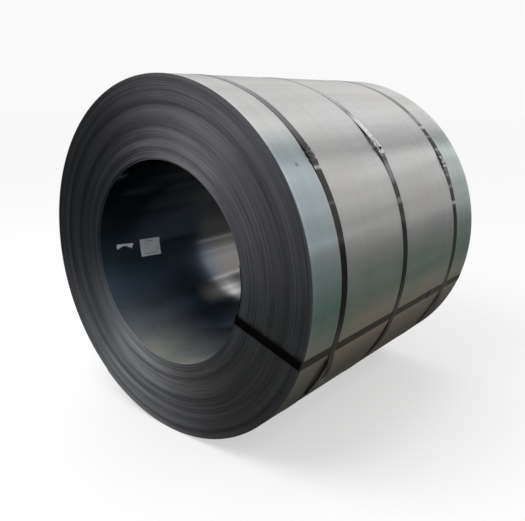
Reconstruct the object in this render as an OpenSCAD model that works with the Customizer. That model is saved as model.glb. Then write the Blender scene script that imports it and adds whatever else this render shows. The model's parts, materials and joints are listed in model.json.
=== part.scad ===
// Coil of hot-rolled steel strip, strapped for transport, lying on its side.
// The bore runs along Y and the front end faces -Y. Millimetres, +Z up, resting on Z = 0.

/* [Strip and coil] */
// Width of the steel strip
strip_w = 1250; // [600:10:2000]
// Outside diameter of the wound coil
coil_d = 1340; // [1000:10:2100]
// Diameter of the bore, set by the mandrel
bore_d = 762; // [610, 762]

/* [Wound ends] */
// Bands of wraps that stand at their own depth on each end
wrap_bands = 19; // [6:1:36]
// How far the proudest band stands beyond the strip width
telescope = 5; // [1:0.5:15]

/* [Straps] */
// Width of the steel strap
strap_w = 32; // [19:1:51]
// Thickness of the steel strap
strap_t = 0.9; // [0.6:0.1:1.5]
// Distance from the front end to the front hoop
hoop_front = 174; // [100:2:240]
// Distance from the front end to the middle hoop
hoop_middle = 588; // [420:2:640]
// Distance from the rear end to the rear hoop
hoop_rear = 174; // [100:2:240]
// Turn of the front hoop about the vertical, as it was put on slightly askew
skew_front = 0.7; // [-2:0.1:2]
// Turn of the middle hoop about the vertical
skew_middle = 1.4; // [-2:0.1:2]
// Turn of the rear hoop about the vertical
skew_rear = -1.3; // [-2:0.1:2]
// Clock angle of the strap through the eye, from +X towards +Z
eye_angle = -18.5; // [-30:0.5:-10]
// How far the front hoop stands off the coil below the eye strap
slack_front = 15; // [2:1:20]
// How far the middle hoop stands off there
slack_middle = 4; // [2:1:20]
// How far the rear hoop stands off there
slack_rear = 10; // [2:1:20]

/* [Seals] */
// Length of a crimped seal along its strap
seal_l = 57; // [40:1:70]
// Thickness of the seal's sheet
seal_t = 1.1; // [0.8:0.1:1.6]
// Clock angle of the front hoop's seal
seal_front_angle = 38.4; // [20:0.2:50]
// Clock angle of the middle hoop's seal
seal_middle_angle = 38; // [20:0.2:50]
// Clock angle of the rear hoop's seal
seal_rear_angle = 29; // [20:0.2:50]
// Distance from the rear hoop to the eye strap's seal, towards the front
eye_seal_gap = 143; // [80:1:200]

/* [Labels] */
// Length of the paper label along the bore
label_l = 108; // [60:2:150]
// Height of the paper label round the bore
label_h = 76; // [40:1:110]
// Thickness of the label paper
label_t = 0.3; // [0.2:0.1:0.6]
// Distance from the front end to the near edge of the label
label_from_front = 210; // [190:2:400]
// Length of the torn scrap of a second label
scrap_l = 84; // [40:2:90]
// Height of the torn scrap
scrap_h = 22; // [10:1:40]
// Distance from the front end to the near edge of the scrap
scrap_from_front = 90; // [60:2:100]
// Clock angle of the upper edge of both labels, on the -X wall
label_angle = 180; // [170:1:190]

/* [Hidden] */
$fn = 96;

coil_r = coil_d / 2;
bore_r = bore_d / 2;
end_reach = strip_w / 2 + telescope;
// The hoops are the lowest thing, so they carry the coil
axis_height = coil_r + strap_t;

// How the band depths wander: two unrelated steps in degrees, and a start for each end
depth_step = 97;
depth_swing = 41;
front_start = 25;
rear_start = 140;

// Seal: room at the sides of the strap, and two pairs of crimp notches
seal_play = 0.5;
notch_depth = 4.5;
notch_gap = 26;

// The strap's free end runs this far past its seal
tail_past_seal = 14;
// Angle over which a slack hoop stands off the coil
slack_angle = 18;
// Reach of a cutting wedge, well outside the coil
wedge_r = 2 * coil_r;
// Angle by which a hoop runs on under its slack stretch
slack_overlap = 0.2;
// Room at each side of the eye strap where a hoop bridges it, which a skewed hoop needs
eye_play = 0.8;
// How far a cutting shape runs past the surface it cuts
cut = 2;

strip_color = [0.56, 0.58, 0.60];
strap_color = [0.16, 0.17, 0.19];
seal_color = [0.24, 0.25, 0.27];
paper_color = [0.90, 0.90, 0.88];

function arc_angle(length, radius) = length / radius * 180 / PI;
function polar(radius, angle) = [radius * cos(angle), radius * sin(angle)];

// ---- the coil's own frame: bore along Z, front end at +Z, angles are clock angles ----

module lying() {
    translate([0, 0, axis_height]) rotate([90, 0, 0]) children();
}

// Wedge between two clock angles, less than a half turn apart
module wedge(from, to) {
    middle = (from + to) / 2;
    polygon([[0, 0], polar(wedge_r, from), polar(wedge_r, middle), polar(wedge_r, to)]);
}

module ring(inner_r, outer_r) {
    difference() {
        circle(r = outer_r);
        circle(r = inner_r);
    }
}

module sector(inner_r, outer_r, from, to) {
    intersection() {
        ring(inner_r, outer_r);
        wedge(from, to);
    }
}

// ---- coil ----

function wander(i, start) = sin(i * depth_step + start) * cos(i * depth_swing + 2 * start);
function band_depth(i, start) =
    telescope * wander(i, start) / max([for (k = [0 : wrap_bands - 1]) wander(k, start)]);
function band_r(i) = bore_r + (coil_r - bore_r) * i / wrap_bands;

module coil() {
    front = [for (i = [0 : wrap_bands - 1], side = [0, 1])
        [band_r(i + side), strip_w / 2 + band_depth(i, front_start)]];
    rear = [for (i = [wrap_bands - 1 : -1 : 0], side = [1, 0])
        [band_r(i + side), -strip_w / 2 - band_depth(i, rear_start)]];
    color(strip_color) lying() rotate_extrude() polygon(concat(front, rear));
}

// ---- hoops and their seals ----

hoop_z = [end_reach - hoop_front, end_reach - hoop_middle, hoop_rear - end_reach];
hoop_skew = [skew_front, skew_middle, skew_rear];
hoop_slack = [slack_front, slack_middle, slack_rear];
seal_angle = [seal_front_angle, seal_middle_angle, seal_rear_angle];

eye_half_angle = arc_angle(strap_w / 2, coil_r);
// Where a hoop bridges the eye strap: clear angle at each side, then the angle of the bend
bridge_play = 0.07;
bridge_bend = 0.12;
bridge_low = eye_angle - eye_half_angle - bridge_play - bridge_bend;
bridge_high = eye_angle + eye_half_angle + bridge_play + bridge_bend;

// The slack stretch is an arc of a smaller circle whose ends lie inside the hoop's thickness
slack_high = bridge_low + bridge_bend / 2;
slack_low = slack_high - slack_angle;
slack_end_r = coil_r + 0.3 * strap_t;
slack_half_chord = slack_end_r * sin(slack_angle / 2);

module slack_arc(slack) {
    rise = slack_end_r * (1 - cos(slack_angle / 2)) + slack;
    arc_r = (slack_half_chord * slack_half_chord + rise * rise) / (2 * rise);
    intersection() {
        translate(polar(slack_end_r + slack - arc_r, slack_low + slack_angle / 2))
            ring(arc_r, arc_r + strap_t);
        wedge(slack_low, slack_high);
        ring(coil_r, wedge_r);
    }
}

module hoop_outline(lap_angle, slack) {
    seal_half = arc_angle(seal_l / 2, coil_r);
    tail = arc_angle(tail_past_seal, coil_r);
    difference() {
        union() {
            difference() {
                ring(coil_r, coil_r + strap_t);
                wedge(slack_low + slack_overlap, slack_high);
            }
            sector(coil_r, coil_r + 2 * strap_t, bridge_low, bridge_high);
            sector(coil_r, coil_r + 2 * strap_t, lap_angle - seal_half - tail, lap_angle + seal_half);
            slack_arc(slack);
        }
        rotate(eye_angle) translate([coil_r - cut, -strap_w / 2 - eye_play])
            square([cut + strap_t, strap_w + 2 * eye_play]);
    }
}

module hoop_place(i) {
    lying() translate([0, 0, hoop_z[i]]) rotate([0, hoop_skew[i], 0]) children();
}

module hoop_strap(i) {
    color(strap_color) hoop_place(i) linear_extrude(strap_w, center = true)
        hoop_outline(seal_angle[i], hoop_slack[i]);
}

// Crimped sleeve over two layers of strap: along Y, open below, with its back at +X.
// X = 0 is the surface that the lower strap lies on.
module seal_sleeve() {
    inner_w = strap_w + 2 * seal_play;
    outer_w = inner_w + 2 * seal_t;
    difference() {
        translate([0, -seal_l / 2, -outer_w / 2])
            cube([2 * strap_t + seal_t, seal_l, outer_w]);
        translate([-cut, -seal_l, -inner_w / 2])
            cube([cut + 2 * strap_t, 2 * seal_l, inner_w]);
        for (side = [-1, 1], along = [-1, 1])
            translate([0, along * notch_gap / 2, side * outer_w / 2]) rotate([45, 0, 0])
                cube([4 * (strap_t + seal_t), notch_depth, notch_depth], center = true);
    }
}

module hoop_seal(i) {
    color(seal_color) hoop_place(i) rotate([0, 0, seal_angle[i]]) translate([coil_r, 0, 0])
        seal_sleeve();
}

// ---- strap through the eye ----

// A flat strap touches the bore wall at its two edges, and the outside along its middle
eye_inner_x = sqrt(bore_r * bore_r - strap_w * strap_w / 4);

module eye_loop() {
    difference() {
        union() {
            for (grow = [[0, strap_t], [strap_t, 0]])
                translate([eye_inner_x - grow[0], -end_reach - grow[1]])
                    square([coil_r - eye_inner_x + 2 * grow[0], 2 * (end_reach + grow[1])]);
            for (x = [eye_inner_x, coil_r], z = [-end_reach, end_reach])
                translate([x, z]) circle(r = strap_t);
        }
        translate([eye_inner_x, -end_reach]) square([coil_r - eye_inner_x, 2 * end_reach]);
    }
}

eye_seal_z = hoop_z[2] + eye_seal_gap;

module eye_strap() {
    lap_l = seal_l + tail_past_seal;
    color(strap_color) lying() rotate([0, 0, eye_angle]) {
        rotate([90, 0, 0]) linear_extrude(strap_w, center = true) eye_loop();
        translate([coil_r, -strap_w / 2, eye_seal_z - seal_l / 2])
            cube([2 * strap_t, strap_w, lap_l]);
    }
}

module eye_seal() {
    color(seal_color) lying() rotate([0, 0, eye_angle]) translate([coil_r, 0, eye_seal_z])
        rotate([90, 0, 0]) seal_sleeve();
}

// ---- paper on the bore wall ----

module wall_paper(length, height, from_front) {
    color(paper_color) lying() translate([0, 0, end_reach - from_front - length])
        linear_extrude(length)
            sector(bore_r - label_t, bore_r, label_angle, label_angle + arc_angle(height, bore_r));
}

module bore_label() {
    wall_paper(label_l, label_h, label_from_front);
}

module label_scrap() {
    wall_paper(scrap_l, scrap_h, scrap_from_front);
}

coil();
hoop_strap(0);  // hoop_strap_front
hoop_strap(1);  // hoop_strap_middle
hoop_strap(2);  // hoop_strap_rear
hoop_seal(0);  // hoop_seal_front
hoop_seal(1);  // hoop_seal_middle
hoop_seal(2);  // hoop_seal_rear
eye_strap();
eye_seal();
bore_label();
label_scrap();
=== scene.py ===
"""Looks of a coil of hot-rolled steel strip that lies on its side, strapped for transport.

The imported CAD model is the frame: the bore runs along Y, the front end faces -Y, and all
lengths are in metres. Clock angles are in degrees, from +X towards +Z, seen from the front.
"""

import json
import math

import bpy
import numpy as np
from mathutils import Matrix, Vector


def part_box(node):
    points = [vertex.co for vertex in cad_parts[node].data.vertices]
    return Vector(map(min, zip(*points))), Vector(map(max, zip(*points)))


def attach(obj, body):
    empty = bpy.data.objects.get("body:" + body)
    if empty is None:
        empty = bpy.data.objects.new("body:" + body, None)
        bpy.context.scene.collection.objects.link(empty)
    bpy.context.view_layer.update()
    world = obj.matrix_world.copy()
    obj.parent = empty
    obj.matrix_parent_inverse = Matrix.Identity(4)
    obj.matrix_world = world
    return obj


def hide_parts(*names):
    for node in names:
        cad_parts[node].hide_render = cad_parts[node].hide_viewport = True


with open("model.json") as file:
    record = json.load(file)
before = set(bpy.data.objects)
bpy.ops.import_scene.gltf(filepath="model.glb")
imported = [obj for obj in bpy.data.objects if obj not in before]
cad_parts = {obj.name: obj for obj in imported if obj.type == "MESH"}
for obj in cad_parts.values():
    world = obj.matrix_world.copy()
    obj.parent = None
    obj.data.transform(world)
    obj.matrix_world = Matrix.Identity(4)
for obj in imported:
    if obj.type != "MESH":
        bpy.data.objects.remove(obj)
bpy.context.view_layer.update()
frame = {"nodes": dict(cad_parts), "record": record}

# ---- sizes taken from the frame ----

coil_low, coil_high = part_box("coil")
COIL_R = (coil_high.x - coil_low.x) / 2
AXIS_Z = (coil_high.z + coil_low.z) / 2
REACH = coil_high.y
BORE = next(m for m in frame["record"]["mounts"] if m["name"] == "bore")
BORE_R = BORE["dims"]["r_mm"] / 1000
STRAP_T = coil_low.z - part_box("hoop_strap_front")[0].z
eye_seal_low, eye_seal_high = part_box("eye_seal")
EYE_SEAL = (eye_seal_low + eye_seal_high) / 2
EYE_ANGLE = math.degrees(math.atan2(EYE_SEAL.z - AXIS_Z, EYE_SEAL.x))
DEGREES_PER_METRE = 180 / (math.pi * COIL_R)

# ---- sizes of the details ----

# Straps. The tail is what shows past each end of a seal, and the upper layer lies at the lap height.
STRAP_W = 0.032
STRAP_EDGE = 0.00025
STRAP_TAIL = 0.014
LAP_HEIGHT = 1.05 * STRAP_T

# Eye strap: the rounding of its corners, the longest step along it, and the climb onto its lower layer
EYE_BEND = 0.004
EYE_STEP = 0.02
EYE_CLIMB = 0.05

# Crimped seals, with two notches on each side that dent the top. A crumpled seal has waves this long.
SEAL_L = 0.057
SEAL_T = 0.0011
SEAL_PLAY = 0.0005
SEAL_BEND = 0.0008
SEAL_STEP = 0.0015
SEAL_WAVE = 0.019
SEAL_DENT = 0.0004
NOTCH_GAP = 0.026
NOTCH_DEPTH = 0.0042
NOTCH_HALF_L = 0.006

# Hoops, in degrees from the seal: where they touch the coil, the hump, and the sideways kink below it
LAP_REACH = 8.0
HUMP_ABOVE = 13.0
HUMP_BELOW = 6.5
KINK_REACH = 34.0

# Hoops, in degrees from their start: the finer stretch at each end, and the climb onto the lower layer
FINE_REACH = 14.0
FINE_STEP = 0.25
COARSE_STEP = 1.0
CLIMB_START = 354.0
CLIMB_LENGTH = 5.0

# Paper on the bore wall, with the droop of its rear end in degrees
PAPER_T = 0.0003
PAPER_GAP = 0.0002
LABEL_DROOP = 1.0
LABEL_GRID = (24, 16)
LABEL_CURL_LOW = 0.002
LABEL_CURL_HIGH = 0.0015
LABEL_BULGE = 0.001
SCRAP_DROOP = 1.2
SCRAP_GRID = (60, 5)
SCRAP_CURL = 0.002

# The wound strip. It climbs by one thickness over the jog angle in each turn. At the ends each wrap
# has a small offset of its own, and the wraps sway slowly in and out.
WRAPS = 84
WRAP_T = (COIL_R - BORE_R) / WRAPS
STEPS_PER_TURN = 180
HEAD_ANGLE = 10.0
TAIL_ANGLE = -125.0
JOG_ANGLE = 50.0
WRAP_BEVEL = 0.0005
WRAP_GROOVE = 0.0009
WRAP_JITTER = 0.0005
WRAP_SWAY = 0.0003
SWAY_TURNING = 1.013
SWAY_DRIFT = 0.41

# Places per wrap where the CAD's ends are measured, and how many of them are averaged
PROFILE_PER_WRAP = 4
PROFILE_WINDOW = 25

# The first turns lie further in than the others, and this part of a turn leads up to them
CORE_RECESS = 0.006
CORE_TURNS = 2.2
CORE_LEAD = 0.4

rng = np.random.default_rng(7)


def smooth_step(x):
    x = np.clip(x, 0.0, 1.0)
    return x * x * (3 - 2 * x)


def on_clock(radius, angle, y):
    """Points at a radius, a clock angle in degrees and a place along the bore."""
    turn = np.radians(angle)
    return np.stack(np.broadcast_arrays(radius * np.cos(turn), y, AXIS_Z + radius * np.sin(turn)), -1)


def grey(value):
    return (value, value, value)


def clock_share(angle):
    """Share of the way round from -180 to 180 degrees."""
    return angle / 360 + 0.5


# ---- node helpers ----

# Noise mostly stays between these levels
NOISE_LOW = 0.3
NOISE_HIGH = 0.7


class Graph:
    """Adds nodes to a tree, and links or sets their inputs."""

    def __init__(self, tree):
        self.tree = tree
        tree.nodes.clear()

    def put(self, socket, value):
        if isinstance(value, bpy.types.NodeSocket):
            self.tree.links.new(value, socket)
        elif isinstance(value, tuple) and socket.type == "RGBA":
            socket.default_value = (*value, 1.0)
        else:
            socket.default_value = value

    def add(self, kind, settings=None, **inputs):
        node = self.tree.nodes.new("ShaderNode" + kind)
        for name, value in (settings or {}).items():
            setattr(node, name, value)
        for name, value in inputs.items():
            self.put(node.inputs[name.replace("_", " ")], value)
        return node

    def math(self, operation, a, b=0.0, c=0.0):
        node = self.add("Math", {"operation": operation})
        for socket, value in zip(node.inputs, (a, b, c)):
            self.put(socket, value)
        return node.outputs[0]

    def fold(self, operation, values):
        """Joins two or more values by one operation."""
        result = values[0]
        for value in values[1:]:
            result = self.math(operation, result, value)
        return result

    def product(self, *factors):
        return self.fold("MULTIPLY", factors)

    def total(self, *terms):
        return self.fold("ADD", terms)

    def largest(self, *values):
        return self.fold("MAXIMUM", values)

    def span(self, value, low, high, to_low=0.0, to_high=1.0):
        """Goes from to_low to to_high as the value goes from low to high, and stays level past both."""
        node = self.add("MapRange", Value=value)
        limits = {"From Min": low, "From Max": high, "To Min": to_low, "To Max": to_high}
        for name, limit in limits.items():
            self.put(node.inputs[name], limit)
        return node.outputs[0]

    def swing(self, noise, low, high):
        """Goes between two numbers as a noise does."""
        return self.span(noise, NOISE_LOW, NOISE_HIGH, low, high)

    def near(self, value, centre, reach, soft=0.5):
        """1 at the centre and 0 further off than the reach. The slope takes the soft share of it."""
        distance = self.math("ABSOLUTE", self.math("SUBTRACT", value, centre))
        return self.span(distance, reach, reach * (1 - soft))

    def ramp(self, value, stops):
        node = self.add("ValToRGB", Fac=value)
        band = node.color_ramp
        while len(band.elements) < len(stops):
            band.elements.new(1.0)
        for element, (place, colour) in zip(band.elements, stops):
            element.position = place
            element.color = (*colour, 1.0)
        return node.outputs["Color"]

    def clock_ramp(self, stops):
        """Colour by clock angle."""
        return self.ramp(self.clock, [(clock_share(angle), colour) for angle, colour in stops])

    def mix(self, share, a, b, blend="MIX"):
        node = self.add("Mix", {"data_type": "RGBA", "blend_type": blend})
        for name, value in (("Factor_Float", share), ("A_Color", a), ("B_Color", b)):
            self.put(next(s for s in node.inputs if s.identifier == name), value)
        return next(s for s in node.outputs if s.identifier == "Result_Color")

    def tint(self, share, colour, by):
        """Colour times another one, in this share."""
        return self.mix(share, colour, by, "MULTIPLY")

    def shade(self, colour, factor):
        """Colour times a number."""
        grey_factor = self.add("CombineColor", Red=factor, Green=factor, Blue=factor).outputs[0]
        return self.tint(1.0, colour, grey_factor)

    def noise(self, x, y, z, detail=2.0):
        vector = self.add("CombineXYZ", X=x, Y=y, Z=z).outputs[0]
        return self.add("TexNoise", Vector=vector, Scale=1.0, Detail=detail).outputs["Fac"]

    def locate(self):
        """Finds x, y and z from the axis, the radius, and the clock angle in degrees and as a share."""
        split = self.add("SeparateXYZ", Vector=self.add("TexCoord").outputs["Object"])
        self.x, self.y = split.outputs["X"], split.outputs["Y"]
        self.z = self.math("SUBTRACT", split.outputs["Z"], AXIS_Z)
        square = self.math("MULTIPLY_ADD", self.x, self.x, self.product(self.z, self.z))
        self.radius = self.math("SQRT", square)
        self.degrees = self.product(self.math("ARCTAN2", self.z, self.x), 180 / math.pi)
        self.clock = self.math("MULTIPLY_ADD", self.degrees, 1 / 360, 0.5)

    def streaks(self, across, along, detail=3.0):
        """Noise that changes so many times in a metre across the bore's axis, and along it."""
        return self.noise(self.product(self.x, across), self.product(self.y, along),
                          self.product(self.z, across), detail)

    def rings(self, per_metre, round_the_coil=0.7):
        """Noise that changes with the radius, and slowly round the coil."""
        cosine = self.math("DIVIDE", self.x, self.radius)
        sine = self.math("DIVIDE", self.z, self.radius)
        return self.noise(self.product(self.radius, per_metre), self.product(cosine, round_the_coil),
                          self.product(sine, round_the_coil))


def new_material(name):
    material = bpy.data.materials.new(name)
    material.use_nodes = True
    return material, Graph(material.node_tree)


def coil_material(name):
    """New material, with a graph that has located the point on the coil."""
    material, graph = new_material(name)
    graph.locate()
    return material, graph


def finish_material(graph, height=None, bump_distance=0.0, **inputs):
    """Principled shader with these inputs, with a bump where there is a height."""
    shader = graph.add("BsdfPrincipled", None, **inputs)
    if height is not None:
        bump = graph.add("Bump", Height=height, Strength=1.0, Distance=bump_distance)
        graph.put(shader.inputs["Normal"], bump.outputs[0])
    output = graph.add("OutputMaterial")
    graph.put(output.inputs["Surface"], shader.outputs[0])
    return shader


# ---- materials ----


# Colour of the outer wrap by clock angle: oxide tone, with painted shade on the underside and painted
# reflections of brown and green surroundings low on the +X side
OUTER_TONE_SHADE_AND_REFLECTION = [
    (-180, (0.43, 0.43, 0.43)), (-60, (0.30, 0.27, 0.22)), (-34, (0.33, 0.26, 0.15)),
    (-22, (0.50, 0.43, 0.31)), (-13, (0.545, 0.48, 0.375)), (-5, (0.33, 0.43, 0.34)),
    (2, (0.43, 0.48, 0.43)), (10, (0.50, 0.50, 0.49)), (32, (0.51, 0.51, 0.50)),
    (50, (0.51, 0.50, 0.49)), (180, (0.43, 0.43, 0.43)),
]
# Patches low on the +X side, as clock angle and reach in degrees: a painted green reflection of the
# surroundings, a dark one and an amber one. The dark one grows towards the front end between two places
# along the bore, and the amber one has a middle and a reach along it.
GREEN_REFLECTION = (-6, 12)
DARK_PATCH = (-48, 16)
DARK_GROWS = (-0.34, -0.52)
AMBER_PATCH = (-46, 9)
AMBER_Y = (0.16, 0.17)
# Lighter rims: how far their middle is from each end, and their reach
RIM_IN = 0.014
RIM_REACH = 0.012
# Scuff near the front rim: clock angle and reach, and place along the bore and reach
SCUFF_ANGLE = (36, 0.8)
SCUFF_Y = (-0.54, 0.009)
# Cooler bands along both ends: where they begin along the bore, where they are full, and their tint
BANDED_SIDE = (-40, 89, 0.1)
END_BANDS = [(-0.43, -0.50, (0.80, 0.93, 1.0)), (0.43, 0.50, (0.84, 0.95, 0.92))]
# Painted shade in the gaps under the slack hoops: the clock angles where it starts and is full, below
# the eye strap and at its lower end, its half width, and how far its middle is in front of the hoop's
GAP_SHADE_TOP = (EYE_ANGLE - 1.5, EYE_ANGLE - 4)
GAP_SHADE_END = (-48, -42)
GAP_SHADE_HALF_W = 0.020
GAP_SHADE_FORWARD = 0.006


def rolled_colour(graph, clouds):
    """Satin oxide with painted shade and reflections by clock angle, patches low on the +X side of which
    one is a painted green reflection, a cooler band along each end, and faint clouds.
    """
    patches = graph.streaks(5.0, 6.0, detail=0.0)
    colour = graph.clock_ramp(OUTER_TONE_SHADE_AND_REFLECTION)
    green_reflection = graph.product(graph.near(graph.degrees, *GREEN_REFLECTION), graph.span(patches, 0.45, 0.65), 0.38)
    colour = graph.mix(green_reflection, colour, (0.25, 0.41, 0.31))
    dark = graph.product(graph.near(graph.degrees, *DARK_PATCH), graph.span(graph.y, *DARK_GROWS))
    colour = graph.tint(dark, colour, grey(0.55))
    amber = graph.product(graph.near(graph.degrees, *AMBER_PATCH), graph.near(graph.y, *AMBER_Y))
    colour = graph.tint(amber, colour, (1.0, 0.86, 0.52))
    side = graph.near(graph.degrees, *BANDED_SIDE)
    for begins, full, tint in END_BANDS:
        colour = graph.tint(graph.product(side, graph.span(graph.y, begins, full)), colour, tint)
    cloudy = graph.ramp(clouds, [(0.35, (0.90, 0.93, 0.95)), (0.65, (1.0, 0.975, 0.95))])
    return graph.tint(0.6, colour, cloudy)


def rolled_shade(graph):
    """Rolling lines that run round the coil, faint streaks along its axis, lighter rims, and one scuff
    near the front rim."""
    lines = graph.streaks(0.25, 26.0, detail=0.0)
    stripes = graph.streaks(16.0, 1.1, detail=1.0)
    rims = graph.near(graph.math("ABSOLUTE", graph.y), REACH - RIM_IN, RIM_REACH)
    scuff = graph.product(graph.near(graph.degrees, *SCUFF_ANGLE), graph.near(graph.y, *SCUFF_Y))
    return graph.total(graph.swing(lines, 0.97, 1.02), graph.product(rims, 0.10),
                       graph.swing(stripes, -0.09, 0.09), graph.product(scuff, -0.45))


def gap_shade_under(graph, hoops):
    """How much painted shade darkens the coil in the gaps under the stretches where hoops stand off it.
    """
    place = graph.product(graph.span(graph.degrees, *GAP_SHADE_TOP), graph.span(graph.degrees, *GAP_SHADE_END))
    marks = []
    for hoop in hoops:
        if hoop.gap_shade:
            middle = hoop.y + hoop.skew * COIL_R - GAP_SHADE_FORWARD
            width = graph.near(graph.y, middle, GAP_SHADE_HALF_W, 0.15)
            marks.append(graph.product(place, width, hoop.gap_shade))
    return graph.largest(*marks)


def outer_skin(hoops):
    """Rolled face of the outermost wrap, with painted shade in the gaps where hoops stand off it."""
    material, graph = coil_material("strip_outer_face")
    clouds = graph.streaks(3.0, 2.2, detail=1.0)
    # Painted shade: the coil turns black, dull and unmetallic in the gaps under slack hoops
    gap_shade = gap_shade_under(graph, hoops)
    colour = graph.shade(rolled_colour(graph, clouds), rolled_shade(graph))
    finish_material(graph, Base_Color=graph.mix(gap_shade, colour, grey(0.003)),
                    Metallic=graph.math("SUBTRACT", 1.0, gap_shade),
                    Roughness=graph.total(graph.swing(clouds, 0.26, 0.30), graph.product(gap_shade, 0.6)))
    return material


# Painted sheen and shade on the slit edges by clock angle: lighter where the ringed highlight falls,
# darkest on the -X side
END_SHEEN_AND_SHADE = [
    (-180, (0.33, 0.37, 0.40)), (-164, (0.49, 0.51, 0.54)), (-150, (0.65, 0.69, 0.72)),
    (-128, (0.92, 0.96, 0.98)), (-114, (0.86, 0.88, 0.89)), (-93, (1.06, 1.07, 1.07)),
    (-70, (0.88, 0.89, 0.89)), (-44, (0.78, 0.79, 0.79)), (-8, (0.74, 0.76, 0.76)),
    (6, (0.82, 0.83, 0.86)), (30, (0.74, 0.74, 0.78)), (64, (0.60, 0.595, 0.62)),
    (78, (0.80, 0.79, 0.82)), (90, (0.98, 0.97, 1.01)), (104, (0.86, 0.86, 0.90)),
    (124, (0.50, 0.51, 0.54)), (150, (0.36, 0.38, 0.41)), (180, (0.33, 0.37, 0.40)),
]
# Painted shade on the recessed first turns: clock angle, reach and soft share, and the part of a turn
# over which it fades
CORE_SHADE = (5, 28, 0.4)
CORE_SHADE_FADE = 0.3
# The ends grow lighter from this radius in to the bore, where they are this much lighter
LIGHTER_FROM = 0.52
LIGHTER_BY = 1.38


def edge_skin():
    """Slit edges of the wraps on both ends: dark oxide with painted sheen and shade by clock angle,
    rougher across the wraps than along them, lighter towards the bore. The recessed first wraps are
    darkened by painted shade on the +X side."""
    material, graph = coil_material("strip_edges")
    bands = graph.rings(34.0)
    lines = graph.rings(300.0, 1.5)
    colour = graph.ramp(bands, [(0.3, (0.132, 0.135, 0.142)), (0.5, (0.172, 0.175, 0.182)),
                                (0.7, (0.216, 0.217, 0.221))])
    colour = graph.tint(1.0, colour, graph.clock_ramp(END_SHEEN_AND_SHADE))
    colour = graph.shade(colour, graph.span(graph.radius, LIGHTER_FROM, BORE_R, 1.0, LIGHTER_BY))
    # Painted shade in the recess of the first turns, on the +X side
    core_shade_edge = BORE_R + CORE_TURNS * WRAP_T
    core = graph.span(graph.radius, core_shade_edge, core_shade_edge - CORE_SHADE_FADE * WRAP_T)
    core_shaded = graph.product(core, graph.near(graph.degrees, *CORE_SHADE))
    colour = graph.mix(core_shaded, colour, grey(0.012))
    lined = graph.ramp(lines, [(0.3, grey(0.60)), (0.5, grey(1.0)), (0.72, grey(1.32))])
    shader = finish_material(graph, lines, 0.0003, Base_Color=graph.tint(1.0, colour, lined),
                             Metallic=0.9, Roughness=graph.swing(bands, 0.60, 0.52),
                             Anisotropic=0.75, Anisotropic_Rotation=0.25)
    tangent = graph.add("Tangent", {"direction_type": "RADIAL", "axis": "Y"})
    graph.put(shader.inputs["Tangent"], tangent.outputs[0])
    return material


# Painted light and shade on the bore wall by clock angle: dark on the upper -X side, lighter in streaks
# low on the -X side
BORE_SHADE_BY_CLOCK = [
    (-180, 0.35), (-170, 0.30), (-163, 0.70), (-155, 1.0), (-145, 0.75), (-137, 0.45), (-130, 0.95),
    (-118, 0.45), (-105, 0.52), (-90, 0.50), (90, 0.50), (110, 0.20), (130, 0.10), (150, 0.11),
    (160, 0.17), (172, 0.22), (180, 0.35),
]
# The film turns from bluish to neutral between these places along the bore
NEUTRAL_GROWS = (-0.15, 0.05)
# Painted streak of reflected light deep in the bore: clock angle and reach, and place along the bore and
# reach
STREAK_ANGLE = (-131, 10)
STREAK_Y = (-0.06, 0.14)
# Painted light along the bottom of the bore near the open ends grows from this height above the axis
# down to this one, and from this far in towards each end
LIT_HEIGHTS = (0.22, -0.37)
LIT_DEPTHS = (0.40, 0.04)


def bore_skin():
    """Inside face of the first wrap: dark glossy oxide film, bluish near the front and neutral further
    in, with painted light and shade by clock angle, a painted streak of reflected light deep in the
    bore, and painted light along the bottom near the ends, where it is also duller."""
    material, graph = coil_material("strip_bore_face")
    clouds = graph.streaks(5.0, 3.0)
    film = graph.ramp(clouds, [(0.35, (0.110, 0.190, 0.300)), (0.65, (0.240, 0.300, 0.380))])
    film = graph.mix(graph.span(graph.y, *NEUTRAL_GROWS), film, (0.29, 0.284, 0.276))
    # Painted streak of reflected light deep in the bore
    painted_streak = graph.product(graph.near(graph.degrees, *STREAK_ANGLE), graph.near(graph.y, *STREAK_Y))
    film = graph.mix(painted_streak, film, (0.80, 0.79, 0.78))
    film = graph.tint(1.0, film, graph.clock_ramp([(angle, grey(level)) for angle, level in BORE_SHADE_BY_CLOCK]))
    from_end = graph.math("SUBTRACT", REACH, graph.math("ABSOLUTE", graph.y))
    low = graph.span(graph.z, *LIT_HEIGHTS)
    cloudy = graph.span(clouds, 0.25, 0.6, 0.75, 1.0)
    # Painted light along the bottom near the ends, where the film is also duller
    painted_light = graph.product(low, graph.span(from_end, *LIT_DEPTHS), cloudy)
    painted_light_colour = graph.ramp(low, [(0.35, (0.10, 0.165, 0.18)), (0.79, (0.18, 0.205, 0.225)),
                                   (0.93, (0.27, 0.285, 0.285)), (1.0, (0.40, 0.405, 0.365))])
    finish_material(graph, Base_Color=graph.mix(painted_light, film, painted_light_colour),
                    Metallic=graph.span(painted_light, 0.0, 1.0, 0.85, 0.45),
                    Roughness=graph.span(painted_light, 0.0, 1.0, 0.13, 0.34))
    return material


# How light the lacquer of the straps is, by clock angle: black below, lighter on top
LACQUER = [
    (-180, 0.006), (-28, 0.006), (-10, 0.016), (9, 0.016), (14, 0.022), (22, 0.032), (44, 0.042),
    (48, 0.085), (68, 0.13), (110, 0.13), (160, 0.03), (180, 0.006),
]
# Stretches low on the coil's side, as clock angle, reach and soft share: blacker ones, and ones with a
# painted brown reflection of the ground
BLACK_STRETCH = (0, 14, 0.3)
BROWN_REFLECTION_STRETCH = (-19, 8, 0.5)
# The front and rear hoops lie about this far from the middle of the bore
OUTER_HOOP_Y = 0.46


def bare_steel(graph, spots, worn):
    """How far the lacquer has worn off. Each worn place is a clock angle, a reach and a share."""
    places = []
    for angle, reach, share in worn:
        places.append(graph.product(graph.near(graph.degrees, angle, reach), share))
    return graph.product(graph.largest(*places), graph.span(spots, 0.30, 0.48, 0.55, 1.0))


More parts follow.
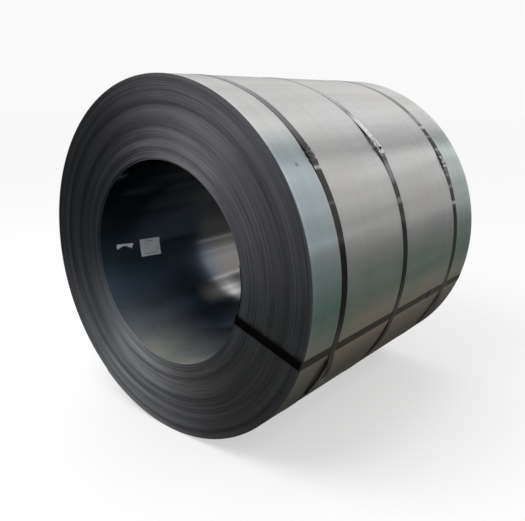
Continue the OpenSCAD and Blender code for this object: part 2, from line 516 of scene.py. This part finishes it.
def strap_lacquer(name, worn=(), gloss=0.14):
    """Black lacquer, lighter on top, with a painted brown reflection of the ground low on the coil's
    side, and worn to bare steel in places.
    """
    material, graph = coil_material(name)
    scuffs = graph.streaks(5.0, 400.0)
    spots = graph.streaks(70.0, 70.0)
    outside = graph.span(graph.radius, COIL_R - 0.003, COIL_R)
    to_front = graph.span(graph.y, OUTER_HOOP_Y, -OUTER_HOOP_Y)
    colour = graph.clock_ramp([(angle, grey(level)) for angle, level in LACQUER])
    black = graph.product(graph.near(graph.degrees, *BLACK_STRETCH), to_front)
    colour = graph.mix(black, colour, grey(0.002))
    colour = graph.mix(outside, grey(0.002), colour)
    colour = graph.shade(colour, graph.span(scuffs, 0.45, 0.70, 0.9, 1.5))
    # Painted brown reflection of the ground, low on the coil's side
    painted_light = graph.product(outside, graph.near(graph.degrees, *BROWN_REFLECTION_STRETCH),
                         graph.span(graph.y, -OUTER_HOOP_Y, OUTER_HOOP_Y, 0.7, 1.0))
    colour = graph.mix(painted_light, colour, (0.055, 0.047, 0.034))
    bare = 0.0
    if worn:
        bare = bare_steel(graph, spots, worn)
        colour = graph.mix(bare, colour, grey(0.56))
    finish_material(graph, scuffs, 0.00001, Base_Color=colour, Metallic=bare,
                    Roughness=graph.swing(spots, 0.10, 0.20), Specular_IOR_Level=gloss)
    return material


def seal_sheet(name, wear):
    """Crimped seal: lacquered sheet, worn to bare steel by this share."""
    material, graph = coil_material(name)
    spots = graph.streaks(110.0, 110.0)
    bare = graph.span(spots, 0.72 - 0.5 * wear, 0.80 - 0.5 * wear)
    finish_material(graph, spots, 0.00003, Base_Color=graph.mix(bare, (0.008, 0.008, 0.009), grey(0.50)),
                    Metallic=bare, Roughness=graph.swing(spots, 0.16, 0.26))
    return material


# Painted shadows along the label's creases: how far down it each one is, as a share, and its half
# length. They sag by this much times the square of the distance from their middle.
CREASE_SHADOWS = [(0.14, 0.020), (0.86, 0.042)]
CREASE_SHADOW_HALF_W = 0.0016
CREASE_SAG = 2.0


def label_paper():
    """Blank white paper with faint stains, and painted shadows along two creases."""
    material, graph = coil_material("label_paper")
    fibres = graph.streaks(260.0, 260.0)
    stains = graph.streaks(22.0, 22.0)
    colour = graph.ramp(stains, [(0.35, (0.72, 0.75, 0.79)), (0.6, (0.86, 0.88, 0.92))])
    low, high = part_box("bore_label")
    droop = BORE_R * math.radians(LABEL_DROOP)
    across = graph.math("SUBTRACT", graph.y, (low.y + high.y) / 2)
    sag = graph.product(across, across, -CREASE_SAG)
    level = graph.total(graph.z, sag, graph.product(across, droop / (high.y - low.y)))
    for share, half_length in CREASE_SHADOWS:
        height = high.z - AXIS_Z + share * (low.z - high.z) - droop / 2
        crease_shadow = graph.product(graph.near(level, height, CREASE_SHADOW_HALF_W),
                               graph.near(across, 0.0, half_length, 0.2), 0.8)
        colour = graph.mix(crease_shadow, colour, (0.05, 0.055, 0.06))
    finish_material(graph, fibres, 0.00008, Base_Color=colour, Roughness=0.85)
    return material


# ---- pieces ----


def new_piece(name, points, faces, materials, nodes, sharp=32.0, material_of=None):
    """Mesh object that rides with the coil and stands for these CAD nodes."""
    mesh = bpy.data.meshes.new(name)
    mesh.from_pydata([tuple(p) for p in points], [], faces)
    for material in materials:
        mesh.materials.append(material)
    if material_of is not None:
        mesh.polygons.foreach_set("material_index", material_of)
    mesh.shade_smooth()
    mesh.set_sharp_from_angle(angle=math.radians(sharp))
    mesh.update()
    piece = bpy.data.objects.new(name, mesh)
    bpy.context.scene.collection.objects.link(piece)
    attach(piece, "root")
    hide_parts(*nodes)


# ---- the wound strip ----


def end_profile(side, middles):
    """How far one end reaches along Y at these radii: the CAD's bands with their steps smoothed."""
    coil = frame["nodes"]["coil"]
    radii = np.linspace(BORE_R, COIL_R, PROFILE_PER_WRAP * WRAPS + 1)[1:-1]
    depths = []
    for radius in radii:
        start = Vector((0.0, side * 2 * REACH, AXIS_Z + radius))
        hit, place, _, _ = coil.ray_cast(start, Vector((0.0, -side, 0.0)))
        depths.append(side * place.y if hit else REACH)
    padded = np.pad(depths, PROFILE_WINDOW // 2, "edge")
    smoothed = np.convolve(padded, np.ones(PROFILE_WINDOW) / PROFILE_WINDOW, "valid")
    return np.interp(middles, radii, smoothed)


def spiral_radius(turns, total_turns):
    """Inner radius of the strip after so many turns. It keeps its radius round each turn and
    climbs by one thickness over a short stretch, so the faces that show are true cylinders."""
    jog = JOG_ANGLE / 360
    pitch = (total_turns + jog - 1) / (WRAPS - 1)
    progress = (turns - 1) / pitch + 1
    climbed = np.floor(progress) + smooth_step((progress % 1 - (1 - jog / pitch)) / (jog / pitch))
    return BORE_R + WRAP_T * np.clip(climbed, 0, WRAPS)


def strip_spiral():
    """Steps along the strip, and its turns, clock angle and inner radius at each, up to one turn past
    its tail."""
    total = WRAPS + (HEAD_ANGLE - TAIL_ANGLE) / 360
    length = round(total * STEPS_PER_TURN)
    turns = np.arange(length + STEPS_PER_TURN + 1) / STEPS_PER_TURN
    return length, turns, HEAD_ANGLE - 360 * turns, spiral_radius(turns, length / STEPS_PER_TURN)


def end_depths(side, turns, middles):
    """How far one end of the strip reaches along Y: the CAD's bands, a small offset of its own in each
    wrap, a slow sway, and the first turns further in."""
    wrap_numbers = np.arange(WRAPS + 3)
    jitter = np.interp(turns, wrap_numbers, rng.uniform(0, WRAP_JITTER, WRAPS + 3))
    wave = np.sin(2 * math.pi * turns * SWAY_TURNING + side) * np.sin(turns * SWAY_DRIFT)
    sway = WRAP_SWAY * (1 + wave)
    recess = CORE_RECESS * smooth_step((CORE_TURNS - turns) / CORE_LEAD)
    return end_profile(side, middles) - jitter - sway - recess


def end_rows(side, length, turns, angle, radius):
    """Rows of points along one end of the strip: the grooves, and both edges of each wrap."""
    wrap_in, wrap_out = radius[:length + 1], radius[STEPS_PER_TURN:]
    depth = end_depths(side, turns[:length + 1], (wrap_in + wrap_out) / 2)
    bottom = np.full(len(turns), np.inf)
    bottom[:length + 1] = depth
    bottom[STEPS_PER_TURN:] = np.minimum(bottom[STEPS_PER_TURN:], depth)
    groove = np.full(len(turns), WRAP_GROOVE)
    groove[:STEPS_PER_TURN] = WRAP_BEVEL
    groove[length + 1:] = WRAP_BEVEL
    return {
        "groove": on_clock(radius, angle, side * (bottom - groove)),
        "inner": on_clock(wrap_in + WRAP_BEVEL, angle[:length + 1], side * depth),
        "outer": on_clock(wrap_out - WRAP_BEVEL, angle[:length + 1], side * depth),
    }


# Place of each skin in the strip's list of materials
OUTER_SKIN, EDGE_SKIN, BORE_SKIN = range(3)


def strip_faces(length, starts):
    """Faces of the strip and the skin of each. starts gives the first point of each side's rows."""
    faces, skins = [], []

    def quad(a, b, c, d, skin, flip):
        faces.append((d, c, b, a) if flip else (a, b, c, d))
        skins.append(skin)

    for side in (-1, 1):
        groove, inner, outer = (starts[side, key] for key in ("groove", "inner", "outer"))
        next_groove = groove + STEPS_PER_TURN
        flip = side > 0
        for t in range(length):
            u = t + 1
            quad(groove + t, groove + u, inner + u, inner + t, EDGE_SKIN, flip)
            quad(inner + t, inner + u, outer + u, outer + t, EDGE_SKIN, flip)
            quad(outer + t, outer + u, next_groove + u, next_groove + t, EDGE_SKIN, flip)
    front, rear = starts[-1, "groove"], starts[1, "groove"]
    for t in range(STEPS_PER_TURN):
        quad(front + t, front + t + 1, rear + t + 1, rear + t, BORE_SKIN, True)
        last = length + t
        quad(front + last, front + last + 1, rear + last + 1, rear + last, OUTER_SKIN, False)
    for t, flip in ((0, True), (length, False)):
        around = [starts[-1, key] + t for key in ("groove", "inner", "outer")]
        around += [front + t + STEPS_PER_TURN, rear + t + STEPS_PER_TURN]
        around += [starts[1, key] + t for key in ("outer", "inner", "groove")]
        faces.append(tuple(around) if flip else tuple(reversed(around)))
        skins.append(EDGE_SKIN)
    return faces, skins


def wound_strip(hoops):
    """The whole strip as one closed ribbon. Neighbouring wraps share the points of their groove."""
    length, turns, angle, radius = strip_spiral()
    points, starts = [], {}
    for side in (-1, 1):
        for key, row in end_rows(side, length, turns, angle, radius).items():
            starts[side, key] = sum(len(p) for p in points)
            points.append(row)
    faces, skins = strip_faces(length, starts)
    new_piece("coil_strip", np.concatenate(points), faces, [outer_skin(hoops), edge_skin(), bore_skin()],
              ["coil"], material_of=skins)


# ---- straps and seals ----


def unit(vectors):
    return vectors / np.linalg.norm(vectors, axis=-1, keepdims=True)


def sweep(name, centres, across, outlines, material, nodes):
    """Closed band through these centres. Each outline gives points across the path and out of it."""
    forward = unit(np.gradient(centres, axis=0))
    across = unit(across - forward * np.sum(across * forward, axis=1, keepdims=True))
    outward = np.cross(forward, across)
    sideways, up = outlines[:, :, :1], outlines[:, :, 1:]
    points = centres[:, None] + sideways * across[:, None] + up * outward[:, None]
    rings, count = outlines.shape[:2]
    last = (rings - 1) * count
    faces = []
    for start in range(0, last, count):
        for k in range(count):
            j = (k + 1) % count
            faces.append((start + k, start + j, start + count + j, start + count + k))
    faces.append(tuple(reversed(range(count))))
    faces.append(tuple(range(last, last + count)))
    new_piece(name, points.reshape(-1, 3), faces, [material], nodes)


def strap_outline(half_width):
    """Outline of a strap of this half width, with slightly rounded edges."""
    w, e, t = half_width, STRAP_EDGE, STRAP_T
    return [(-w + e, 0), (w - e, 0), (w, e), (w, t - e), (w - e, t), (-w + e, t), (-w, t - e), (-w, e)]


def seal_outline(squeeze, dent):
    """Outline of a seal over two layers of strap, squeezed from both sides and dented from above."""
    inner_w = STRAP_W / 2 + SEAL_PLAY - squeeze
    outer_w = inner_w + SEAL_T
    inner_h = 2 * STRAP_T + SEAL_PLAY / 2 - dent
    outer_h = inner_h + SEAL_T
    top = []
    for turn in (0, 30, 60, 90):
        bend = math.radians(turn)
        x = outer_w - SEAL_BEND * (1 - math.cos(bend))
        y = outer_h - SEAL_BEND * (1 - math.sin(bend))
        top.append((x, y))
    top_left = [(-x, y) for x, y in reversed(top)]
    left_leg = [(-outer_w, 0), (-inner_w, 0), (-inner_w, inner_h)]
    right_leg = [(inner_w, inner_h), (inner_w, 0), (outer_w, 0)]
    return left_leg + right_leg + top + top_left


def notch(distance):
    """Share of the crimp's depth at this distance along the strap from the middle of the seal."""
    return sum(np.clip(1 - np.abs(distance - s * NOTCH_GAP / 2) / NOTCH_HALF_L, 0, 1) for s in (-1, 1))


def seal(name, place_at, across, crumple, material, node):
    """Crimped seal. place_at gives the points that its middle line passes at these distances."""
    distance = np.linspace(-SEAL_L / 2, SEAL_L / 2, 2 * round(SEAL_L / 2 / SEAL_STEP) + 1)
    pinch = notch(distance)
    waves = crumple * np.sin(distance / SEAL_WAVE * 2 * math.pi) * np.cos(distance / SEAL_L * math.pi)
    outlines = np.array([seal_outline(NOTCH_DEPTH * p, SEAL_DENT * p + w) for p, w in zip(pinch, waves)])
    sweep(name, place_at(distance), across, outlines, material, [node])


def coil_surface(angle):
    """Radius where a strap lies: on the outer wrap, and in a straight line from the strip's tail down to
    the wrap below."""
    below = (TAIL_ANGLE - angle) % 360
    lower = COIL_R - WRAP_T
    bridge = math.degrees(math.acos(lower / COIL_R))
    span = lower / np.cos(np.radians(np.clip(bridge - below, 0, None)))
    return np.maximum(COIL_R - WRAP_T * (1 - smooth_step(below / JOG_ANGLE)), span)


class Hoop:
    """Where one hoop lies, read from its CAD nodes, with the hump and the sideways kink at its seal."""

    def __init__(self, which, lift, kink, gap_shade):
        self.which = which
        # Share of painted shade in the gap under this hoop's slack stretch
        self.gap_shade = gap_shade
        self.node = "hoop_strap_" + which
        self.seal_node = "hoop_seal_" + which
        self.lift = lift
        self.kink = kink
        low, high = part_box(self.node)
        seal_low, seal_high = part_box(self.seal_node)
        self.y = (low.y + high.y) / 2
        middle = (seal_low + seal_high) / 2
        self.seal_angle = math.degrees(math.atan2(middle.z - AXIS_Z, middle.x))
        self.skew = (middle.y - self.y) / middle.x
        lean = math.atan(self.skew)
        self.across = np.array([math.sin(lean), -math.cos(lean), 0.0])
        self.stand_off = self.measure_stand_off()

    def measure_stand_off(self):
        """How far the CAD hoop stands off the coil, by clock angle in whole degrees."""
        node = frame["nodes"][self.node]
        gaps = np.zeros(361)
        for degree in range(361):
            turn = math.radians(degree)
            ray = Vector((math.cos(turn), 0.0, math.sin(turn)))
            start = Vector((0.0, self.y + self.skew * COIL_R * ray.x, AXIS_Z)) + ray * 2 * COIL_R
            hit, place, _, _ = node.ray_cast(start, -ray)
            if hit:
                reach = math.hypot(place.x, place.z - AXIS_Z)
                gaps[degree] = max(0.0, reach - COIL_R - STRAP_T)
        return gaps

    def from_seal(self, angle):
        return (angle - self.seal_angle + 180) % 360 - 180

    def gap(self, angle):
        """Stand-off of the strap's lower face at these clock angles, with the hump at the seal."""
        from_seal = self.from_seal(angle)
        slack = np.interp(angle % 360, np.arange(361), self.stand_off)
        gaps = np.where(np.abs(from_seal) < LAP_REACH, 0.0, slack)
        above, below = 1 - from_seal / HUMP_ABOVE, 1 + from_seal / HUMP_BELOW
        hump = smooth_step(np.where(from_seal > 0, above, below))
        return gaps + self.lift * hump

    def place(self, angle, height=0.0):
        """Points on the hoop's middle line, this high above the face that the lower strap lies on."""
        from_seal = self.from_seal(angle)
        kinked = np.where(from_seal < 0, smooth_step(1 + from_seal / KINK_REACH), 0.0)
        y = self.y + self.skew * COIL_R * np.cos(np.radians(angle)) + self.kink * kinked
        return on_clock(coil_surface(angle) + self.gap(angle) + height, angle, y)


def hoop_strap(hoop, material):
    """The strap starts under its seal, runs once round the coil and ends over its own start."""
    half_lap = (SEAL_L / 2 + STRAP_TAIL) * DEGREES_PER_METRE
    start = hoop.seal_angle - half_lap
    end = hoop.seal_angle + half_lap + 360
    angle = np.concatenate([np.arange(start, start + FINE_REACH, FINE_STEP),
                            np.arange(start + FINE_REACH, end - FINE_REACH, COARSE_STEP),
                            np.arange(end - FINE_REACH, end + FINE_STEP / 2, FINE_STEP)])
    lapped = smooth_step((angle - start - CLIMB_START) / CLIMB_LENGTH)
    centres = hoop.place(angle, lapped * LAP_HEIGHT)
    half = STRAP_W / 2 - NOTCH_DEPTH * notch(hoop.from_seal(angle) / DEGREES_PER_METRE)
    outlines = np.array([strap_outline(h) for h in half])
    sweep("strap_hoop_" + hoop.which, centres, hoop.across, outlines, material, [hoop.node])


def hoop_seal(hoop, crumple, material):
    def place_at(distance):
        return hoop.place(hoop.seal_angle + distance * DEGREES_PER_METRE)

    seal("seal_hoop_" + hoop.which, place_at, hoop.across, crumple, material, hoop.seal_node)


# Hump at the seal, sideways kink below it, and painted shade in the gap under the slack stretch
HOOP_SHAPES = {
    "front": {"lift": 0.002, "kink": 0.0, "gap_shade": 1.0},
    "middle": {"lift": 0.007, "kink": 0.006, "gap_shade": 0.0},
    "rear": {"lift": 0.003, "kink": 0.0, "gap_shade": 0.8},
}
# Crumpling of the seal and its wear
SEAL_WEAR = {"front": (0.0, 0.0), "middle": (0.0003, 1.0), "rear": (0.0004, 0.5)}
# Worn spots of the strap: clock angle, reach and share
HOOP_WEAR = {
    "front": [(34.3, 0.7, 0.5), (24.0, 0.6, 0.12), (-30.5, 2.5, 0.5)],
    "middle": [(68.0, 18.0, 0.5), (44.0, 10.5, 1.0), (29.5, 4.5, 0.35), (20.0, 1.2, 0.3)],
    "rear": [(49.0, 4.0, 0.25), (44.2, 0.9, 0.9), (40.0, 0.6, 0.3), (34.3, 0.8, 0.4),
             (28.0, 3.5, 0.35), (24.2, 0.8, 0.35), (20.0, 0.7, 0.25), (14.0, 0.7, 0.6)],
}


def build_hoops(hoops):
    for hoop in hoops:
        crumple, wear = SEAL_WEAR[hoop.which]
        hoop_strap(hoop, strap_lacquer("hoop_lacquer_" + hoop.which, HOOP_WEAR[hoop.which]))
        hoop_seal(hoop, crumple, seal_sheet("seal_sheet_" + hoop.which, wear))


def rounded_path(corners, radius, pieces=12):
    """Path through these corners, with each one between the first and the last rounded in pieces."""
    path = [corners[0]]
    for before, corner, after in zip(corners, corners[1:], corners[2:]):
        back, on = unit(before - corner), unit(after - corner)
        centre = corner + radius * (back + on)
        for turn in np.linspace(0, math.pi / 2, pieces + 1):
            path.append(centre - radius * (math.sin(turn) * back + math.cos(turn) * on))
    path.append(corners[-1])
    return np.array(path)


def dense(path, step):
    """The same path with points added so that none are further apart than the step."""
    result = [path[0]]
    for a, b in zip(path, path[1:]):
        count = max(1, math.ceil(np.linalg.norm(b - a) / step))
        result += [a + (b - a) * k / count for k in range(1, count + 1)]
    return np.array(result)


# The eye strap is duller than the hoops, and its seal is a little crumpled and worn
EYE_GLOSS = 0.04
EYE_SEAL_CRUMPLE = 0.0002
EYE_SEAL_WEAR = 0.15


def build_eye_strap():
    """Strap through the bore: from under its seal over the front end, back through the bore, over the
    rear end, and on top of its own start."""
    inner = math.sqrt(BORE_R ** 2 - (STRAP_W / 2) ** 2)
    half_lap = SEAL_L / 2 + STRAP_TAIL
    corners = np.array([(COIL_R, EYE_SEAL.y + half_lap), (COIL_R, -REACH), (inner, -REACH),
                        (inner, REACH), (COIL_R, REACH), (COIL_R, EYE_SEAL.y - half_lap)])
    path = dense(rounded_path(corners, EYE_BEND), EYE_STEP)
    length = np.concatenate([[0.0], np.cumsum(np.linalg.norm(np.diff(path, axis=0), axis=1))])
    climb_start = length[-1] - 2 * half_lap - EYE_CLIMB
    lapped = smooth_step((length - climb_start) / EYE_CLIMB)
    centres = on_clock(path[:, 0] + lapped * LAP_HEIGHT, EYE_ANGLE, path[:, 1])
    turn = math.radians(EYE_ANGLE)
    across = np.array([math.sin(turn), 0.0, -math.cos(turn)])
    outlines = np.array([strap_outline(STRAP_W / 2)] * len(path))
    lacquer = strap_lacquer("eye_lacquer", gloss=EYE_GLOSS)
    sweep("strap_eye", centres, across, outlines, lacquer, ["eye_strap"])

    def place_at(distance):
        return on_clock(COIL_R, EYE_ANGLE, EYE_SEAL.y - distance)

    sheet = seal_sheet("seal_sheet_eye", EYE_SEAL_WEAR)
    seal("seal_eye", place_at, across, EYE_SEAL_CRUMPLE, sheet, "eye_seal")


# ---- paper on the bore wall ----


def wall_paper(name, node, grid, droop, height_share, lift, material):
    """Sheet of paper on the -X wall of the bore, whose rear end droops by an angle in degrees.
    height_share gives how much of its height is left at each share of its length, and lift how far
    it curls off the wall."""
    columns, rows = grid
    low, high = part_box(node)
    upper, lower = (180 - math.degrees(math.asin((z - AXIS_Z) / BORE_R)) for z in (high.z, low.z))
    along, down = np.meshgrid(np.linspace(0, 1, columns + 1), np.linspace(0, 1, rows + 1))
    angle = upper + droop * along + (lower - upper) * down * height_share(along)
    y = low.y + (high.y - low.y) * along
    height = PAPER_GAP + lift(along, down)
    layers = [on_clock(BORE_R - height - depth, angle, y).reshape(-1, 3) for depth in (0, PAPER_T)]
    stride, sheet = columns + 1, (columns + 1) * (rows + 1)
    faces = []
    for r in range(rows):
        for c in range(columns):
            a = r * stride + c
            faces.append((a, a + 1, a + stride + 1, a + stride))
            faces.append(tuple(sheet + p for p in (a, a + stride, a + stride + 1, a + 1)))
    rim = list(range(columns))
    rim += [r * stride + columns for r in range(rows)]
    rim += [rows * stride + c for c in range(columns, 0, -1)]
    rim += [r * stride for r in range(rows, 0, -1)]
    for a, b in zip(rim, rim[1:] + rim[:1]):
        faces.append((b, a, sheet + a, sheet + b))
    new_piece(name, np.concatenate(layers), faces, [material], [node], sharp=50.0)


def label_lift(along, down):
    """The label curls off the wall at its corners, and bulges a little in its lower half."""
    corner = np.abs(2 * along - 1) ** 4
    lower = LABEL_CURL_LOW * corner * down ** 3
    upper = LABEL_CURL_HIGH * corner * (1 - down) ** 3
    return lower + upper + LABEL_BULGE * np.sin(math.pi * along) * down


def scrap_lift(along, down):
    """The scrap curls off the wall at its lower rear corner."""
    return SCRAP_CURL * along * down


def scrap_height(along):
    """The scrap is torn along its lower edge and ends in a point."""
    ragged = 0.07 * np.sin(47.0 * along) + 0.05 * np.sin(83.0 * along + 1.0)
    torn = 0.62 + 0.26 * np.cos(7.0 * along) + ragged
    return np.clip(torn, 0.2, 1.0) * np.clip((1 - along) / 0.12 + 0.12, 0.0, 1.0)


def build_labels():
    paper = label_paper()
    wall_paper("label_bore", "bore_label", LABEL_GRID, LABEL_DROOP, np.ones_like, label_lift, paper)
    wall_paper("label_torn", "label_scrap", SCRAP_GRID, SCRAP_DROOP, scrap_height, scrap_lift, paper)


# ---- stage ----


# Where the photo was taken from, as fitted to it: place in metres, lens in millimetres on this
# sensor, and degrees down and to the left
CAMERA_PLACE = (1.5946, -1.9727, 1.2518)
CAMERA_LENS = 40.06
CAMERA_SENSOR = 36.0
CAMERA_DOWN = 15.35
CAMERA_LEFT = 39.64


def camera():
    """Stands in front, to the right and above, and looks slightly down."""
    data = bpy.data.cameras.new("camera")
    data.sensor_width = CAMERA_SENSOR
    data.lens = CAMERA_LENS
    eye = bpy.data.objects.new("camera", data)
    eye.location = CAMERA_PLACE
    eye.rotation_euler = (math.radians(90 - CAMERA_DOWN), 0.0, math.radians(CAMERA_LEFT))
    bpy.context.scene.collection.objects.link(eye)
    bpy.context.scene.camera = eye


# Light by the direction it comes from, as an angle round the bore from +X towards +Z
LIGHT_BANDS = [
    (-180, 0.28), (-170, 0.18), (-140, 0.09), (-110, 0.07), (-85, 0.14), (-60, 0.25), (-45, 0.18),
    (-30, 0.24), (-3, 0.28), (2.5, 0.36), (3.4, 1.9), (4.6, 1.9), (5.5, 0.40), (18, 0.56), (19.5, 1.3),
    (21, 0.60), (30, 0.74), (48, 0.88), (53.5, 1.0), (54.5, 2.4), (56.5, 2.2), (58, 0.7), (62, 0.42),
    (71, 0.42), (73, 1.0), (75, 0.46), (79, 0.62), (84, 1.2), (120, 1.05), (145, 0.95), (165, 0.55),
    (180, 0.28),
]
# Lightness of what the camera sees behind the coil, and of the floor, which also glows to match it
BACKGROUND = 0.95
FLOOR_COLOUR = 0.42
FLOOR_GLOW = 0.52
FLOOR_R = 60.0
FLOOR_CORNERS = 64
# Soft lamp: size in metres and power in watts
LAMP_PLACE = (-0.7, -2.5, 4.2)
LAMP_SIZE = 3.0
LAMP_POWER = 95.0


def studio_light():
    """Light from all round by LIGHT_BANDS, and an even pale background for the camera."""
    world = bpy.data.worlds.new("studio")
    bpy.context.scene.world = world
    world.use_nodes = True
    graph = Graph(world.node_tree)
    split = graph.add("SeparateXYZ", Vector=graph.add("TexCoord").outputs["Generated"])
    turn = graph.math("ARCTAN2", split.outputs["Z"], split.outputs["X"])
    clock = graph.math("MULTIPLY_ADD", turn, 1 / (2 * math.pi), 0.5)
    brightest = max(level for _, level in LIGHT_BANDS)
    bands = graph.ramp(clock, [(clock_share(a), grey(level / brightest)) for a, level in LIGHT_BANDS])
    around = graph.add("Background", Color=bands, Strength=brightest)
    behind = graph.add("Background", Color=grey(BACKGROUND), Strength=1.0)
    seen = graph.add("LightPath").outputs["Is Camera Ray"]
    both = graph.add("MixShader")
    graph.put(both.inputs[0], seen)
    graph.put(both.inputs[1], around.outputs[0])
    graph.put(both.inputs[2], behind.outputs[0])
    output = graph.add("OutputWorld")
    graph.put(output.inputs["Surface"], both.outputs[0])


def front_light():
    """Soft light from high in front that reaches the bottom of the bore near its front end."""
    data = bpy.data.lights.new("front_light", "AREA")
    data.shape = "DISK"
    data.size = LAMP_SIZE
    data.energy = LAMP_POWER
    lamp = bpy.data.objects.new("front_light", data)
    lamp.location = LAMP_PLACE
    aim = Vector((0.0, -REACH, AXIS_Z)) - lamp.location
    lamp.rotation_euler = aim.to_track_quat("-Z", "Y").to_euler()
    bpy.context.scene.collection.objects.link(lamp)


def floor():
    """Pale ground that shows and takes shadows, but isn't in reflections or bounced light."""
    material, graph = new_material("floor")
    finish_material(graph, Base_Color=grey(FLOOR_COLOUR), Roughness=0.9, Emission_Color=grey(1.0),
                    Emission_Strength=FLOOR_GLOW)
    turns = np.arange(FLOOR_CORNERS) * 2 * math.pi / FLOOR_CORNERS
    ring = [(FLOOR_R * math.cos(turn), FLOOR_R * math.sin(turn), 0.0) for turn in turns]
    mesh = bpy.data.meshes.new("floor")
    mesh.from_pydata(ring, [], [tuple(range(FLOOR_CORNERS))])
    mesh.materials.append(material)
    ground = bpy.data.objects.new("floor", mesh)
    ground.visible_glossy = False
    ground.visible_diffuse = False
    bpy.context.scene.collection.objects.link(ground)


bpy.context.scene.view_settings.view_transform = "Standard"
camera()
studio_light()
front_light()
floor()
hoops = [Hoop(which, **shape) for which, shape in HOOP_SHAPES.items()]
wound_strip(hoops)
build_hoops(hoops)
build_eye_strap()
build_labels()
